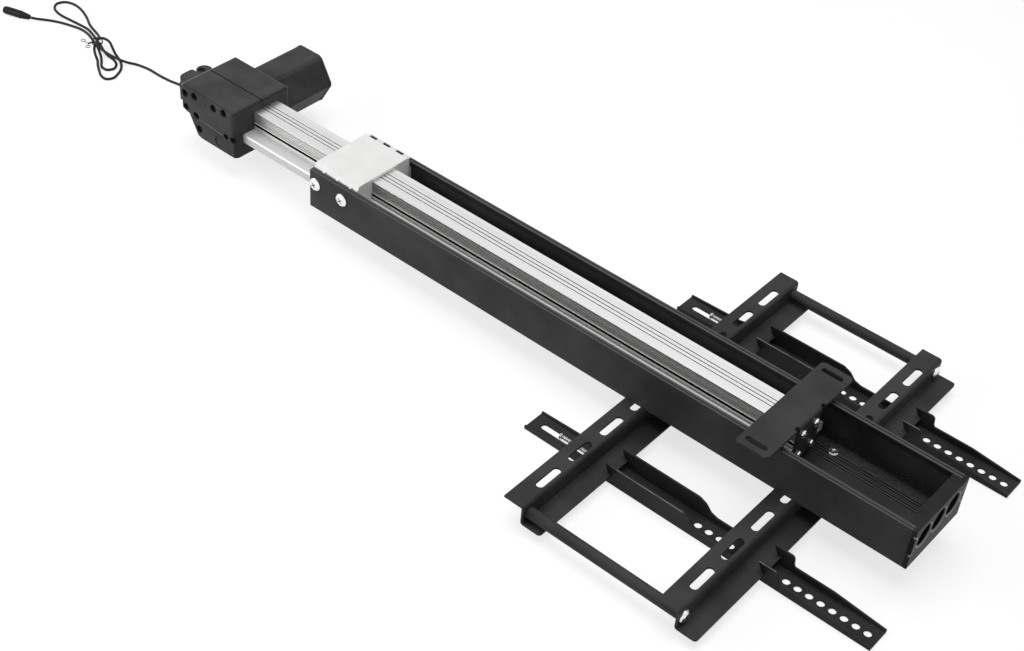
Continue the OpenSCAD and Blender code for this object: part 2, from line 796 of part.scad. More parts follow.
module arm(y) {
  difference() {
    union() {
      along_y(y - arm_w / 2, arm_t) arm_side();
      along_y(y + arm_w / 2 - arm_t, arm_t) arm_side();
      translate([arm_x0, y - arm_w / 2, arm_z0]) cube([arm_x1 - arm_x0, arm_w, arm_t]);
      // lug for the locking bolt, bent up at the end of the slot
      translate([lug_x, y - lug_w / 2, arm_z0]) cube([arm_t, lug_w, lock_z - arm_z0 + 4.5]);
    }
    for (i = [0:hole_count - 1]) rod_z(arm_z0 - 1, 5, hole_last_x - i * hole_pitch, y, hole_d / 2);
    slot_x(lug_x - 2 - arm_slot_len / 2, y, arm_z0 - 1, arm_t + 2, lug_w, arm_slot_len);
    rod_x(lug_x - lug_w, lug_w + arm_t + 4, y, lock_z, lock_r + fit_gap);
  }
}

module arm_near() {
  color([0.17, 0.17, 0.18]) place() arm(arm_near_y);
}

module arm_far() {
  color([0.17, 0.17, 0.18]) place() arm(arm_far_y);
}

module lock_bolt(y) {
  end = lug_x + arm_t + 3;
  union() {
    rod_x(lock_x, lock_head_h, y, lock_z, lock_head_r);
    rod_x(lock_x + 1, end - lock_x - 1, y, lock_z, lock_r);
  }
}

module lock_bolt_near() {
  color([0.8, 0.81, 0.82]) place() lock_bolt(arm_near_y);
}

module lock_bolt_far() {
  color([0.8, 0.81, 0.82]) place() lock_bolt(arm_far_y);
}

// End bracket

module end_bracket() {
  x0 = column_x1 + plate_t - plate_w;
  fl = 41;
  color([0.2, 0.2, 0.21]) place() difference() {
    union() {
      difference() {
        translate([x0, -plate_len / 2, plate_z - plate_t]) cube([plate_w - 3.5, plate_len, plate_t]);
        for (s = [-1, 1]) translate([x0, s * plate_len / 2, plate_z]) rotate([0, 0, 45])
          cube([5, 5, 20], center = true);
      }
      difference() {
        translate([x0 + plate_w - 3.6, -plate_len / 2, plate_z - plate_t]) cube([3.6, plate_len, plate_t]);
        for (s = [-1, 1]) {
          translate([column_x1 + plate_t, s * plate_len / 2, plate_z]) rotate([0, 0, 45])
            cube([5, 5, 20], center = true);
          translate([column_x1 - 2, s * 24 - 3.2, plate_z - 10]) cube([10, 6.4, 20]);
        }
        translate([column_x1 - 1, -fl / 2, plate_z - 10]) cube([10, fl, 20]);
      }
      along_y(-fl / 2, fl) bend(column_x1 - 0.5, plate_z - 3.5, 3.5, plate_t, 1, 1);
      translate([column_x1, -fl / 2, 12.5]) cube([plate_t, fl, plate_z - 3.5 - 12.5]);
    }
    for (s = [-1, 1]) {
      slot_x(x0 + plate_w / 2 - 0.3, s * plate_slot_gap / 2, plate_z - 10, 20, plate_slot_w,
        plate_slot_len);
      for (z = [port_z0, port_z1]) rod_x(column_x1 - 1, 10, s * port_y, z, port_r + 0.1);
    }
  }
}

module end_screws() {
  color([0.8, 0.81, 0.82]) place() for (s = [-1, 1]) for (z = [port_z0, port_z1])
    screw_px(column_x1 + plate_t, s * port_y, z, port_r - 0.15, 14, 4.9, 3.2);
}

// Cord, drawn in the part's own frame; z is the middle of the cord, the surface is z = 0

cord_r = cord_d / 2;
gland_x = lobe_x0 + 10 + shift_x;
gland_y = -7;
gland_z = 22 + shift_z;
plug_x = -897;
plug_y = 1;
plug_turn = 197;

// Route points: plug to bundle, the tied bundle, bundle to gearbox
tail_pts = [[plug_x, plug_y, plug_d / 2], [-889, 6, 4.6], [-879.5, 16.5, 2.4], [-864, 25.5, 1.9],
  [-841, 33, 1.8]];
hank_pts = [
  [-841, 33, 1.8], [-828.5, 35, 1.9], [-816.5, 34, 2.3], [-804.5, 30.5, 3.1], [-792.5, 26, 3.6],
  [-781, 22, 3.6], [-769.5, 16.5, 3.2], [-758.5, 10.5, 2.3], [-748, 3, 1.9], [-738.5, -4.5, 1.9],
  [-728, -5, 1.9], [-723.5, 4, 1.9], [-730, 13, 1.9], [-741.5, 17.5, 1.9], [-754, 18.5, 2.1],
  [-766, 21.5, 3.2], [-777.5, 26, 3.7], [-789.5, 30, 3.5], [-801, 34.5, 3.3], [-813, 38.5, 2.8],
  [-825, 41.5, 2.2], [-837.5, 41.5, 1.9], [-850, 40.5, 1.9], [-862.5, 39.5, 1.9], [-875, 38.5, 1.9],
  [-887.5, 39.5, 1.9], [-899, 44, 1.9], [-906, 53.5, 1.9], [-902.5, 64, 1.9], [-892.5, 69, 1.9],
  [-880.5, 69.5, 1.9], [-868, 67, 1.9], [-856.5, 63, 1.9], [-845, 58, 1.9], [-834, 52, 2.1],
  [-822.5, 47.5, 2.5], [-810.5, 44, 2.9], [-798.5, 39.5, 4], [-789, 32.5, 6.9], [-782.5, 23, 8.4],
  [-775.5, 13.5, 5.6], [-765.5, 7, 2.9], [-754, 1, 1.9], [-744, -6.5, 1.9], [-733.5, -13, 1.9],
  [-722.5, -19, 1.9], [-711.5, -20, 1.9], [-706.5, -11.5, 1.9], [-710, -0.5, 1.9], [-716.5, 10, 1.9],
  [-726.5, 18.5, 1.9], [-738, 24, 1.9], [-749.5, 27.5, 3.2], [-760, 31.5, 6.6], [-769.5, 34.5, 10],
  [-778, 31.5, 12.6], [-780, 23.5, 13], [-773.5, 17.5, 11.6], [-763.5, 15.5, 9.5], [-752, 16, 7.8],
  [-740, 17, 7], [-728.5, 19, 6.4], [-720, 25, 3.6], [-713, 30.5, 2.2]];
lead_pts = [
  [-713, 30.5, 2.2], [-702.5, 34, 1.85], [-689, 36, 1.85], [-669, 36, 1.85], [-650.5, 37.5, 1.85],
  [-634, 40.5, 1.85], [-614, 40, 2], [-592, 31, 3.4], [-568, 18, 6.5], [-547, 5, 15], [-533, -3.5, 28],
  [-527.5, -6.5, 42], [gland_x, gland_y, 50], [gland_x, gland_y, gland_z]];

function unit(v) = v / norm(v);

// Smooth curve through four neighbouring route points
function curve(a, b, c, d, t) =
  (2 * b + (c - a) * t + (2 * a - 5 * b + 4 * c - d) * t * t + (3 * b - a - 3 * c + d) * t * t * t) / 2;

// Ring centres along a route: both ends run straight for one diameter
function centres(p, before, after, m) = let (
  q = concat([before], p, [after]), n = len(p), t0 = unit(p[1] - before), t1 = unit(after - p[n - 2]))
  concat(
    [p[0], p[0] + cord_d * t0],
    [for (i = [0:n - 2]) for (k = [(i == 0 ? 1 : 0):m - 1])
      curve(q[i], q[i + 1], q[i + 2], q[i + 3], k / m)],
    [p[n - 1] - cord_d * t1, p[n - 1]]);

function along(s, i) = unit(s[min(i + 1, len(s) - 1)] - s[max(i - 1, 0)]);

function across(u, t) = unit(u - (u * t) * t);

// Side direction of every ring, carried along without twist
function sides_of(s) = [
  for (i = 0, u = across([0.3, 0.2, 1], along(s, 0)); i < len(s);
    i = i + 1, u = i < len(s) ? across(u, along(s, i)) : u) u];

module cord_tube(s, sides) {
  n = len(s);
  u = sides_of(s);
  pts = [for (i = [0:n - 1]) let (t = along(s, i), w = cross(t, u[i])) for (k = [0:sides - 1])
    s[i] + cord_r * (cos(360 * k / sides) * u[i] + sin(360 * k / sides) * w)];
  walls = [for (i = [0:n - 2]) for (k = [0:sides - 1])
    [i * sides + k, (i + 1) * sides + k, (i + 1) * sides + (k + 1) % sides, i * sides + (k + 1) % sides]];
  first = [for (k = [0:sides - 1]) k];
  last = [for (k = [0:sides - 1]) n * sides - 1 - k];
  polyhedron(points = pts, faces = concat(walls, [first, last]), convexity = 10);
}

plug_dir = [cos(plug_turn), sin(plug_turn), 0];
tail_centres = centres(tail_pts, tail_pts[0] + 8 * plug_dir, hank_pts[1], 2);
hank_centres = centres(hank_pts, tail_pts[len(tail_pts) - 2], lead_pts[1], 2);
lead_centres = centres(lead_pts, hank_pts[len(hank_pts) - 2], [gland_x, gland_y, gland_z + 8], 2);

// Least gap of the bundle to itself, between points more than four diameters apart along the cord
function run_to(s) = [
  for (i = 0, l = 0; i < len(s); i = i + 1, l = i < len(s) ? l + norm(s[i] - s[i - 1]) : l) l];
function point_gap(p, a, b) = let (d = b - a, t = max(0, min(1, ((p - a) * d) / (d * d))))
  norm(p - a - t * d);
hank_run = run_to(hank_centres);
hank_gap = min([for (i = [0:len(hank_centres) - 1]) for (j = [0:len(hank_centres) - 2])
  if (abs(hank_run[i] - hank_run[j]) > 4.4 * cord_d)
    point_gap(hank_centres[i], hank_centres[j], hank_centres[j + 1])]) - cord_d;
echo(least_gap_of_the_bundle_mm = hank_gap);
echo(cord_length_mm = norm(tail_centres[0] - hank_centres[0]) + hank_run[len(hank_run) - 1]
  + max(run_to(lead_centres)));

module cord_tail() {
  color([0.07, 0.07, 0.075]) cord_tube(tail_centres, 8);
}

module cord_bundle() {
  color([0.07, 0.07, 0.075]) cord_tube(hank_centres, 6);
}

module cord_lead() {
  color([0.07, 0.07, 0.075]) cord_tube(lead_centres, 8);
}

module cord_gland() {
  color([0.1, 0.1, 0.11]) translate([gland_x, gland_y, gland_z]) {
    cylinder(h = 9, r1 = 2.6, r2 = 3.6);
    translate([0, 0, 9]) cylinder(h = 3, r = 5);
    for (z = [2.4, 5]) translate([0, 0, z]) cylinder(h = 1.2, r = 3.6);
  }
}

// Twist tie round the bundle, with its two wire ends bent into small loops
tie_x = -787.9;
tie_y = 29.6;
tie_turn = -19.9;

module tie_ring() {
  difference() {
    translate([-8.3, 0.3]) square([14.4, 10.8]);
    translate([-7.3, 1.3]) square([12.4, 8.8]);
    for (p = [[-8.3, 0.3], [6.1, 0.3], [-8.3, 11.1], [6.1, 11.1]]) translate(p) rotate([0, 0, 45])
      square(2.6, center = true);
  }
}

module cord_tie() {
  color([0.1, 0.1, 0.1]) {
    translate([tie_x, tie_y, 0]) rotate([0, 0, tie_turn]) {
      rotate([90, 0, 90]) linear_extrude(2.6) tie_ring();
      translate([1.3, -8, 5.2]) rotate([90, 0, 0]) cylinder(h = 6.5, r = 1.1);
      translate([1.3, -14, 5.2]) rotate([0, -90, 25]) cylinder(h = 7.5, r = 0.5);
      translate([1.3, -14, 5.2]) rotate([0, 90, -20]) cylinder(h = 5, r = 0.5);
      translate([-8.6, -17.4, 5.2]) rotate_extrude() translate([2.9, 0]) circle(r = 0.5, $fn = 16);
      translate([8.6, -16.8, 5.2]) rotate_extrude() translate([2.9, 0]) circle(r = 0.5, $fn = 16);
    }
  }
}

// Low-voltage plug: moulded body with a ribbed relief, and its barrel

module plug_place() {
  translate([plug_x, plug_y, plug_d / 2]) rotate([0, 90, plug_turn]) children();
}

module cord_plug() {
  r = plug_d / 2;
  color([0.1, 0.1, 0.105]) plug_place() rotate_extrude() polygon([
    [0, 0], [2.3, 0], [2.5, 1.2], [3.6, 1.2], [3.6, 2.8], [3.0, 3.2], [3.2, 4.6], [4.2, 4.6],
    [4.2, 6.2], [3.5, 6.6], [3.7, 8.2],
    [4.7, 8.2], [4.7, 9.8], [4.0, 10.2], [4.2, 11.6], [r - 0.3, 12.4], [r, 14], [r, 37.5],
    [r - 0.6, 41], [r - 1.6, 42], [0, 42]]);
}

module plug_barrel() {
  color([0.8, 0.81, 0.82]) plug_place() translate([0, 0, 42]) difference() {
    cylinder(h = 10, r = barrel_d / 2);
    translate([0, 0, 1.5]) cylinder(h = 10, r = 1.05);
    translate([0, 0, 9.5]) cylinder(h = 2, r1 = 1.05, r2 = 2.4);
  }
}

housing_near();
housing_far();
housing_screws();
back_cover();
motor_can();
motor_cap();
motor_body();
worm_shaft();
worm_bearing();
worm_wheel();
screw_bearings();
lead_screw();
column();
screw_bush();
limit_switches();
end_bracket();
end_screws();
channel();
slide_block();
drive_nut();
block_screws();
end_cap();
rail_motor_side();
rail_cap_side();
rail_bolts();
rail_nuts();
tube_near();
tube_far();
tube_screws();
arm_near();
arm_far();
lock_bolt_near();
lock_bolt_far();
cord_gland();
cord_lead();
cord_bundle();
cord_tail();
cord_tie();
cord_plug();
plug_barrel();
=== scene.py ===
"""Motorised screen lift: finishes, cord, floor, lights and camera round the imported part."""

import json
import math

import bpy
from mathutils import Matrix, Vector


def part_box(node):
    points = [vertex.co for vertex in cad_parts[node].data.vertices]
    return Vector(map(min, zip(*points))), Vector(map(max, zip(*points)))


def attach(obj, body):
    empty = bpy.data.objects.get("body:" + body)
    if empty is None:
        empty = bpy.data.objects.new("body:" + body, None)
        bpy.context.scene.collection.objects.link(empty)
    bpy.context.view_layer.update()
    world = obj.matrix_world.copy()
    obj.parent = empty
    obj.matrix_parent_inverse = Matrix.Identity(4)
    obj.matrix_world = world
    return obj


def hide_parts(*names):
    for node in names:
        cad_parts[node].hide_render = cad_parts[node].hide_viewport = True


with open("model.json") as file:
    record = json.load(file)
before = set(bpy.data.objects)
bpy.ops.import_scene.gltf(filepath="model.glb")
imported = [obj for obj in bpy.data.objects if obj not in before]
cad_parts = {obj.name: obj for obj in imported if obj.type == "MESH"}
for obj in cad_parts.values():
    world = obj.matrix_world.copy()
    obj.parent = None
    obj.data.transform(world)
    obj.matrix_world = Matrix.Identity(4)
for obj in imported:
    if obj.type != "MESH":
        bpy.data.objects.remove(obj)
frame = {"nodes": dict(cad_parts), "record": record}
bpy.context.view_layer.update()
nodes = frame["nodes"]

# Camera, fitted to the edges of the channel, rails, arms and column in the photograph.
# The place is in metres, the turns are in degrees, and the lens and film are in millimetres

CAMERA_PLACE = (0.8708, -1.1824, 1.2579)
CAMERA_HEADING = 37.005
CAMERA_DIP = 40.724
CAMERA_ROLL = 5.255
CAMERA_LENS = 59.77
FILM_WIDTH = 36.0


def place_camera():
    """The photograph's camera: turned to its heading, dipped to the part and rolled a little."""
    lens = bpy.data.cameras.new("camera")
    lens.lens = CAMERA_LENS
    lens.sensor_width = FILM_WIDTH
    camera = bpy.data.objects.new("camera", lens)
    bpy.context.scene.collection.objects.link(camera)
    heading = Matrix.Rotation(math.radians(CAMERA_HEADING), 4, "Z")
    dip = Matrix.Rotation(math.radians(90 - CAMERA_DIP), 4, "X")
    roll = Matrix.Rotation(math.radians(CAMERA_ROLL), 4, "Z")
    camera.matrix_world = Matrix.Translation(CAMERA_PLACE) @ heading @ dip @ roll
    bpy.context.scene.camera = camera


# Cord: the route of the CAD tubes in metres, from the plug through the tied bundle to the gearbox

CORD_WIDTH = 0.0036
CORD_STEPS = 8
CORD_ROUNDNESS = 5
HANDLE_SHARE = 6
PLUG_TURN = math.radians(197)
END_REACH = 0.008
PLUG_REACH = END_REACH * Vector((math.cos(PLUG_TURN), math.sin(PLUG_TURN), 0))
GLAND_RISE = END_REACH * Vector((0, 0, 1))
TAIL = [
    (-0.897, 0.001, 0.0055), (-0.889, 0.006, 0.0046), (-0.8795, 0.0165, 0.0024), (-0.864, 0.0255, 0.0019),
    (-0.841, 0.033, 0.0018)]
BUNDLE = [
    (-0.8285, 0.035, 0.0019), (-0.8165, 0.034, 0.0023), (-0.8045, 0.0305, 0.0031), (-0.7925, 0.026, 0.0036),
    (-0.781, 0.022, 0.0036), (-0.7695, 0.0165, 0.0032), (-0.7585, 0.0105, 0.0023), (-0.748, 0.003, 0.0019),
    (-0.7385, -0.0045, 0.0019), (-0.728, -0.005, 0.0019), (-0.7235, 0.004, 0.0019), (-0.73, 0.013, 0.0019),
    (-0.7415, 0.0175, 0.0019), (-0.754, 0.0185, 0.0021), (-0.766, 0.0215, 0.0032), (-0.7775, 0.026, 0.0037),
    (-0.7895, 0.03, 0.0035), (-0.801, 0.0345, 0.0033), (-0.813, 0.0385, 0.0028), (-0.825, 0.0415, 0.0022),
    (-0.8375, 0.0415, 0.0019), (-0.85, 0.0405, 0.0019), (-0.8625, 0.0395, 0.0019), (-0.875, 0.0385, 0.0019),
    (-0.8875, 0.0395, 0.0019), (-0.899, 0.044, 0.0019), (-0.906, 0.0535, 0.0019), (-0.9025, 0.064, 0.0019),
    (-0.8925, 0.069, 0.0019), (-0.8805, 0.0695, 0.0019), (-0.868, 0.067, 0.0019), (-0.8565, 0.063, 0.0019),
    (-0.845, 0.058, 0.0019), (-0.834, 0.052, 0.0021), (-0.8225, 0.0475, 0.0025), (-0.8105, 0.044, 0.0029),
    (-0.7985, 0.0395, 0.004), (-0.789, 0.0325, 0.0069), (-0.7825, 0.023, 0.0084), (-0.7755, 0.0135, 0.0056),
    (-0.7655, 0.007, 0.0029), (-0.754, 0.001, 0.0019), (-0.744, -0.0065, 0.0019), (-0.7335, -0.013, 0.0019),
    (-0.7225, -0.019, 0.0019), (-0.7115, -0.02, 0.0019), (-0.7065, -0.0115, 0.0019), (-0.71, -0.0005, 0.0019),
    (-0.7165, 0.01, 0.0019), (-0.7265, 0.0185, 0.0019), (-0.738, 0.024, 0.0019), (-0.7495, 0.0275, 0.0032),
    (-0.76, 0.0315, 0.0066), (-0.7695, 0.0345, 0.01), (-0.778, 0.0315, 0.0126), (-0.78, 0.0235, 0.013),
    (-0.7735, 0.0175, 0.0116), (-0.7635, 0.0155, 0.0095), (-0.752, 0.016, 0.0078), (-0.74, 0.017, 0.007),
    (-0.7285, 0.019, 0.0064), (-0.72, 0.025, 0.0036), (-0.713, 0.0305, 0.0022)]
LEAD = [
    (-0.7025, 0.034, 0.00185), (-0.689, 0.036, 0.00185), (-0.669, 0.036, 0.00185), (-0.6505, 0.0375, 0.00185),
    (-0.634, 0.0405, 0.00185), (-0.614, 0.04, 0.002), (-0.592, 0.031, 0.0034), (-0.568, 0.018, 0.0065),
    (-0.547, 0.005, 0.015), (-0.533, -0.0035, 0.028), (-0.5275, -0.0065, 0.042), (-0.527, -0.007, 0.05),
    (-0.527, -0.007, 0.0563)]


def lay_cord():
    """The cord as one open spline, whose handles follow the same smooth curve as the CAD tubes."""
    route = [Vector(point) for point in TAIL + BUNDLE + LEAD]
    neighbours = [route[0] + PLUG_REACH] + route + [route[-1] + GLAND_RISE]
    line = bpy.data.curves.new("cord", "CURVE")
    line.dimensions = "3D"
    line.resolution_u = CORD_STEPS
    # The knots give the radius, so that the box of the curve stays as small as the cord
    line.bevel_depth = 1.0
    line.bevel_resolution = CORD_ROUNDNESS
    line.use_fill_caps = True
    spline = line.splines.new("BEZIER")
    spline.bezier_points.add(len(route) - 1)
    for knot, here, last, following in zip(spline.bezier_points, route, neighbours, neighbours[2:]):
        handle = (following - last) / HANDLE_SHARE
        knot.co = here
        knot.radius = CORD_WIDTH / 2
        knot.handle_left_type = knot.handle_right_type = "FREE"
        knot.handle_left = here - handle
        knot.handle_right = here + handle
    cord = bpy.data.objects.new("cord", line)
    bpy.context.scene.collection.objects.link(cord)
    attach(cord, "base")
    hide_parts("cord_tail", "cord_bundle", "cord_lead")
    return cord


# Shader maths. The spreads say which part of a noise becomes the range from 0 to 1

NOISE_SPREAD = (0.3, 0.7)
FIRM_SPREAD = (0.35, 0.65)
SPARSE_SPREAD = (0.35, 0.7)
HOLLOW_SAMPLES = 8
EASE_SAMPLES = 6
EDGE_TURN = (0.01, 0.2)


class Wire:
    """One output of a shader node. Arithmetic on it adds Math nodes."""

    def __init__(self, finish, socket):
        self.finish = finish
        self.socket = socket

    def maths(self, operation, *others):
        """A Math node whose inputs are this wire and the others."""
        inputs = dict(enumerate((self, *others)))
        return self.finish.add("ShaderNodeMath", {"operation": operation}, inputs)

    def __add__(self, other):
        return self.maths("ADD", other)

    __radd__ = __add__

    def __sub__(self, other):
        return self.maths("SUBTRACT", other)

    def __rsub__(self, other):
        return self.finish.add("ShaderNodeMath", {"operation": "SUBTRACT"}, {0: other, 1: self})

    def __mul__(self, other):
        return self.maths("MULTIPLY", other)

    __rmul__ = __mul__

    def __pow__(self, other):
        return self.maths("POWER", other)

    def size(self):
        """Without its sign."""
        return self.maths("ABSOLUTE")

    def either(self, other):
        """The larger of the two."""
        return self.maths("MAXIMUM", other)

    def between(self, low, high):
        """0 below low, 1 above high, smooth from one to the other."""
        settings = {"interpolation_type": "SMOOTHSTEP"}
        values = {"Value": self, "From Min": low, "From Max": high}
        return self.finish.add("ShaderNodeMapRange", settings, values)

    def step(self, level, blend):
        """0 before the level and 1 past it. The blend's two numbers count from the level."""
        start, end = blend
        return self.between(level + start, level + end)

    def band(self, low, high, blur):
        """1 between low and high, fading to 0 over blur on each side."""
        return self.between(low - blur, low) * (1 - self.between(high, high + blur))


class Finish:
    """A material: one Principled shader, its colour so far, and the nodes that vary over it."""

    def __init__(self, name, colour, roughness, metallic=0.0, specular=0.5):
        self.material = bpy.data.materials.new(name)
        self.material.use_nodes = True
        self.tree = self.material.node_tree
        self.shader = self.tree.nodes["Principled BSDF"]
        self.set("Base Color", (*colour, 1))
        self.set("Roughness", roughness)
        self.set("Metallic", metallic)
        self.set("Specular IOR Level", specular)
        self.material.diffuse_color = (*colour, 1)
        self.here = self.add("ShaderNodeTexCoord", {}, {}, "Object")
        self.body = None

    def set(self, socket, value):
        """Puts a number or a wire on one of the shader's sockets."""
        if isinstance(value, Wire):
            self.tree.links.new(value.socket, self.shader.inputs[socket])
        else:
            self.shader.inputs[socket].default_value = value

    def add(self, kind, settings, values, output=0):
        """Adds a node, first its settings, then the numbers or wires of its sockets."""
        node = self.tree.nodes.new(kind)
        for name, setting in settings.items():
            setattr(node, name, setting)
        for name, value in values.items():
            if isinstance(value, Wire):
                self.tree.links.new(value.socket, node.inputs[name])
            else:
                node.inputs[name].default_value = value
        return Wire(self, node.outputs[output])

    def stretched(self, along_x, across_y, up_z):
        """Object coordinates, in metres, times a factor for each axis."""
        values = {0: self.here, 1: (along_x, across_y, up_z)}
        return self.add("ShaderNodeVectorMath", {"operation": "MULTIPLY"}, values)

    def part(self, vector, axis):
        """The X, Y or Z of a vector."""
        return self.add("ShaderNodeSeparateXYZ", {}, {0: vector}, "XYZ".index(axis))

    def place(self, axis):
        """The X, Y or Z of a point of the surface, in metres."""
        return self.part(self.here, axis)

    def normal(self):
        """The direction that the surface faces."""
        return self.add("ShaderNodeNewGeometry", {}, {}, "Normal")

    def hollows(self, reach, low, high):
        """1 deep in narrow slots and grooves, 0 in the open."""
        settings = {"samples": HOLLOW_SAMPLES, "only_local": True}
        open_sky = self.add("ShaderNodeAmbientOcclusion", settings, {"Distance": reach}, "AO")
        return (1 - open_sky).between(low, high)

    def speckle(self, size, detail=2.0, where=None):
        """Noise from 0 to 1 whose grains measure about size, in metres."""
        values = {"Vector": where or self.here, "Scale": 1 / size, "Detail": detail}
        return self.add("ShaderNodeTexNoise", {}, values)

    def shade(self, factor, low, high):
        """Colour from low to high."""
        low, high = (end if isinstance(end, Wire) else (*end, 1) for end in (low, high))
        return self.add("ShaderNodeMix", {"data_type": "RGBA"}, {0: factor, 6: low, 7: high}, 2)

    def mottle(self, noise, low, high, spread=NOISE_SPREAD):
        """Starts the body's colour, which runs from low to high with the noise."""
        self.body = self.shade(noise.between(*spread), low, high)

    def paint(self, mask, colour, strength=1.0):
        """Lays a colour over the body where the mask is 1."""
        self.body = self.shade(mask * strength, self.body, colour)

    def rounded(self, radius):
        """Direction of the surface with its edges eased by radius."""
        return self.add("ShaderNodeBevel", {"samples": EASE_SAMPLES}, {"Radius": radius})

    def edges(self, soft):
        """1 along an eased edge and 0 on the flat."""
        values = {0: soft, 1: self.normal()}
        turn = self.add("ShaderNodeVectorMath", {"operation": "DOT_PRODUCT"}, values, "Value")
        return (1 - turn).between(*EDGE_TURN)

    def relief(self, height, depth, soft=None):
        """Bumps of the height times depth, in metres, over the eased surface if one is given."""
        values = {"Height": height, "Distance": depth, "Strength": 1.0}
        if soft:
            values["Normal"] = soft
        self.set("Normal", self.add("ShaderNodeBump", {}, values))

    def done(self):
        """Links the body's colour and gives the material."""
        self.set("Base Color", self.body)
        return self.material


# Places on the part, in metres in its own frame. A half is measured from the middle plane

channel_low, channel_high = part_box("channel")
CHANNEL_TOP = channel_high.z
CHANNEL_HALF = channel_high.y
CHANNEL_WALL = 0.006
INNER_HALF = CHANNEL_HALF - CHANNEL_WALL
LIP_GROOVE = (CHANNEL_HALF - 0.6 * CHANNEL_WALL, CHANNEL_HALF - 0.35 * CHANNEL_WALL)
FLOOR_THICK = 0.0032
FLOOR_TOP = channel_low.z + FLOOR_THICK
FLOOR_SCUFF = (0.034, 0.044)
FLOOR_GROOVED = (0.016, 0.034)
GROOVE_FOLDS = (0.0256, 0.0048, 0.0018)
GROOVE_HALF = 0.00075
GROOVE_RIM = (GROOVE_HALF + 0.0002, GROOVE_HALF + 0.0008)

column_low, column_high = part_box("column")
COLUMN_TOP = column_high.z
COLUMN_HALF = 0.0187
UNDER_EDGE = (COLUMN_TOP - 0.0016, COLUMN_TOP - 0.0007)
SHELF_TOP = column_low.z + 0.0216
SHELF_STRIP = (0.0205, 0.0242)
SHELF_LINE = (0.0191, 0.0197)
SLOT_LOW = SHELF_TOP + 0.0036
SLOT_HIGH = SLOT_LOW + 0.004
SLOT_LIP = 0.0012
BLOCK_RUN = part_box("slide_block")[0].x + 0.006

CAP_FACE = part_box("end_cap")[1].x
POCKET_PITCH = 0.0283
POCKET_HEIGHT = 0.0653
POCKET_RADIUS = 0.0124
POCKET_RIM = (POCKET_RADIUS + 0.0006, POCKET_RADIUS + 0.0022)
POCKET_ROUND = 0.0026

near_low, near_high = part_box("housing_near")
far_low, far_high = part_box("housing_far")
GEARBOX_BACK = near_low.x
GEARBOX_FRONT = near_high.x
GEARBOX_NEAR = near_low.y
GEARBOX_FAR = far_high.y
GEARBOX_TOP = near_high.z
GEARBOX_SEAM = (near_high.y - 0.0004, far_low.y + 0.0004)
CREASE_START = GEARBOX_BACK + 0.0115
CREASE_HEIGHT = GEARBOX_TOP - 0.0362
CREASE_SLOPE = -0.0655
CREASE_BAND = (-0.0002, 0.0007)
MOTOR_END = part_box("motor_cap")[1].y
THREAD_PITCH = 0.0016

# Blends, in metres from a face: AT_FACE takes the face in and PAST_FACE leaves it out

AT_FACE = (-0.0004, -0.0001)
PAST_FACE = (0.0002, 0.0006)

# Colours in linear red, green and blue


def grey(level, blue=0.0):
    """A grey, with a little more blue if given."""
    return (level, level, level + blue)


def warm(level, less=0.01):
    """A light grey with a little less blue."""
    return (level, level, level - less)


def times(colour, share):
    """The colour made darker or lighter by a share."""
    return tuple(share * part for part in colour)


COAT_BLACK = grey(0.047, 0.001)
ARM_BLACK = grey(0.033, 0.001)
GEARBOX_BLACK = grey(0.047, 0.001)
MOTOR_BLACK = grey(0.046, 0.001)
CAP_BLACK = grey(0.026, 0.001)
SWITCH_BLACK = grey(0.02, 0.001)
SLEEVE_BLACK = grey(0.018, 0.001)
PLUG_BLACK = grey(0.012, 0.0005)
# Painted shade in hollows and grooves, on the channel's inner walls, at the gearbox's top edges and in the
# cap's pockets
HOLLOW_SHADE = grey(0.002)
GROOVE_SHADE = grey(0.001)
INNER_WALL_SHADE = grey(0.003)
CORNER_SHADE = grey(0.004)
POCKET_SHADE = grey(0.006)
SEAM_BLACK = grey(0.0005)
# Painted highlights on edges, lips, groove rims, pocket rims and the motor's end; the coat's edges are also
# worn, and the floor's rubbed grey is wear
WORN_EDGE_AND_HIGHLIGHT = grey(0.13, 0.003)
LIP_HIGHLIGHT = grey(0.11, 0.003)
RUBBED_FLOOR = grey(0.1)
GROOVE_RIM_HIGHLIGHT = grey(0.1, 0.002)
EDGE_HIGHLIGHT_PLASTIC = grey(0.1, 0.002)
EDGE_HIGHLIGHT_GREY = grey(0.4)
POCKET_RIM_HIGHLIGHT = grey(0.55, 0.005)
MOTOR_END_HIGHLIGHT = grey(0.3, 0.002)
# Painted shade line, under the column's top edge and in its top grooves
SHADE_LINE = grey(0.06)
ALUMINIUM = (0.72, 0.725, 0.73)
ALUMINIUM_LINES = ((0.66, 0.665, 0.66), (0.74, 0.745, 0.74))
ALUMINIUM_STREAK = (0.6, 0.605, 0.6)
# Painted highlight along the column's edges
EDGE_HIGHLIGHT_ALUMINIUM = grey(0.9)
# The column's sides: painted shade, with painted highlights upwards and before the block
SIDE_SHADED_LINES = (warm(0.3, 0.005), warm(0.46))
SIDE_UPPER_HIGHLIGHT = warm(0.72)
SIDE_BEFORE_BLOCK_HIGHLIGHT = warm(0.78)
SHELF_GREY = grey(0.6)
# Painted highlight strip and painted shade line on the shelf
SHELF_HIGHLIGHT = warm(0.95)
SHELF_SHADE_LINE = grey(0.03)
